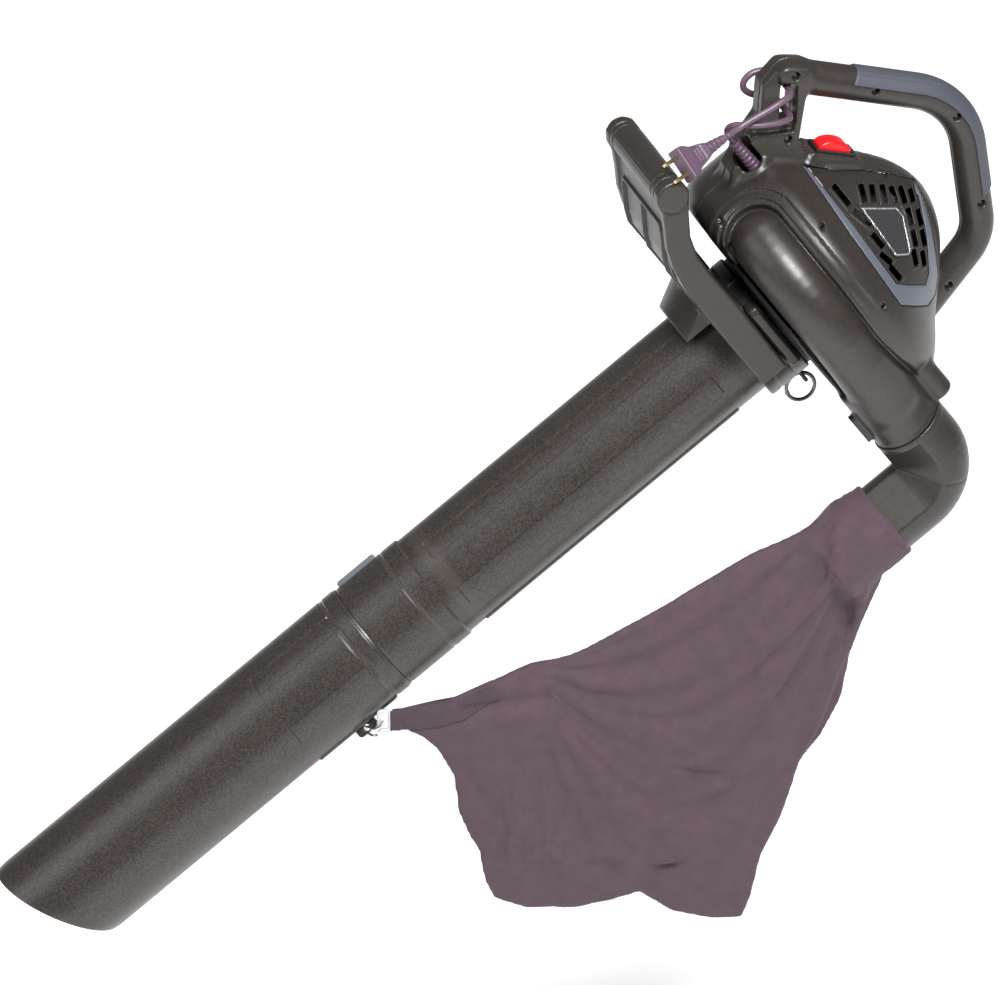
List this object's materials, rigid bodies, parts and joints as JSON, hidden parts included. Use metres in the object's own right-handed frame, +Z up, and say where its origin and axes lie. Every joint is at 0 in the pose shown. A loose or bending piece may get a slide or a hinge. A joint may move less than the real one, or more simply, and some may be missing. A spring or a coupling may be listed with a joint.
{
  "type": "leaf blower",
  "caption": "Handheld corded garden blower and vacuum: slanted suction tube, scroll fan housing with a loop handle, front handle, outlet elbow and hanging collection bag.",
  "frame": {"origin": "middle of the main handle's upper grip, where the hand carries the machine", "axes": "+X from the suction mouth towards the rear of the machine, level; +Z up; the outlet elbow and the bag are on the -Y side; the plane y = 0 parts the two housing halves"},
  "size_m": [1.0451, 0.3035, 0.904],
  "materials": {
    "body_plastic": "fine spark-eroded texture, warm dark grey",
    "soft_grip": "smooth soft-touch, blue-grey",
    "switch_red": "satin red",
    "bag_fabric": "woven polyester, dull purple-grey",
    "cord_rubber": "matt purple-grey",
    "steel": "zinc plated or ground",
    "copper": "enamelled copper wire and bars",
    "brass": "bright brass",
    "carbon": "dull black",
    "label": "dark blank plate with a light edge"
  },
  "bodies": {
    "machine_body": {"lower_tube": "body_plastic", "upper_tube": "body_plastic", "front_handle_frame": "body_plastic", "front_handle_grip": "body_plastic", "intake_collar": "body_plastic", "near_housing_half": "body_plastic", "far_housing_half": "body_plastic", "near_vent_grille": "body_plastic", "far_vent_grille": "body_plastic", "fan_cover": "body_plastic", "switch_bezel": "body_plastic", "outlet_elbow": "body_plastic", "near_trim": "soft_grip", "far_trim": "soft_grip", "handle_pad": "soft_grip", "collection_bag": "bag_fabric", "bag_neck_band": "bag_fabric", "bag_strap": "bag_fabric", "cable_boot": "cord_rubber", "power_cord": "cord_rubber", "plug_body": "cord_rubber", "latch_spring": "steel", "bearing_plate": "steel", "front_bearing": "steel", "rear_bearing": "steel", "stator_core": "steel", "motor_frame": "steel", "strap_buckle": "steel", "strap_hook": "steel", "housing_screw_1": "steel", "housing_screw_2": "steel", "housing_screw_3": "steel", "housing_screw_4": "steel", "housing_screw_5": "steel", "housing_screw_6": "steel", "front_field_winding": "copper", "rear_field_winding": "copper", "near_brush_holder": "brass", "far_brush_holder": "brass", "plug_pin_upper": "brass", "plug_pin_lower": "brass", "near_brush": "carbon", "far_brush": "carbon", "switch_body": "carbon", "near_rating_plate": "label", "far_rating_plate": "label"},
    "rotor": {"rotor_shaft": "steel", "armature_core": "steel", "commutator": "copper", "impeller": "body_plastic", "impeller_nut": "steel"},
    "power_switch": {"power_switch": "switch_red"},
    "tube_latch_button": {"tube_latch_button": "soft_grip"},
    "strap_ring": {"strap_ring": "steel"}
  },
  "joints": [
    {"name": "rotor_spin", "type": "hinge", "parent": "machine_body", "child": "rotor", "pos_m": [-0.165, 0, -0.263], "axis": [0.807, 0, 0.5906], "continuous": true},
    {"name": "power_switch_rock", "type": "hinge", "parent": "machine_body", "child": "power_switch", "pos_m": [-0.056, 0, -0.062], "axis": [0, 1, 0], "range_deg": [0, 12]},
    {"name": "tube_latch_press", "type": "slide", "parent": "machine_body", "child": "tube_latch_button", "axis": [0.5062, -0.5151, -0.6917], "range_m": [0, 0.0013], "stiffness_N_per_m": 800, "deforming": ["latch_spring"]},
    {"name": "strap_ring_swing", "type": "hinge", "parent": "machine_body", "child": "strap_ring", "pos_m": [-0.08488, -0.002, -0.30474], "axis": [0.807, 0, 0.5906], "range_deg": [-30, 30]}
  ]
}
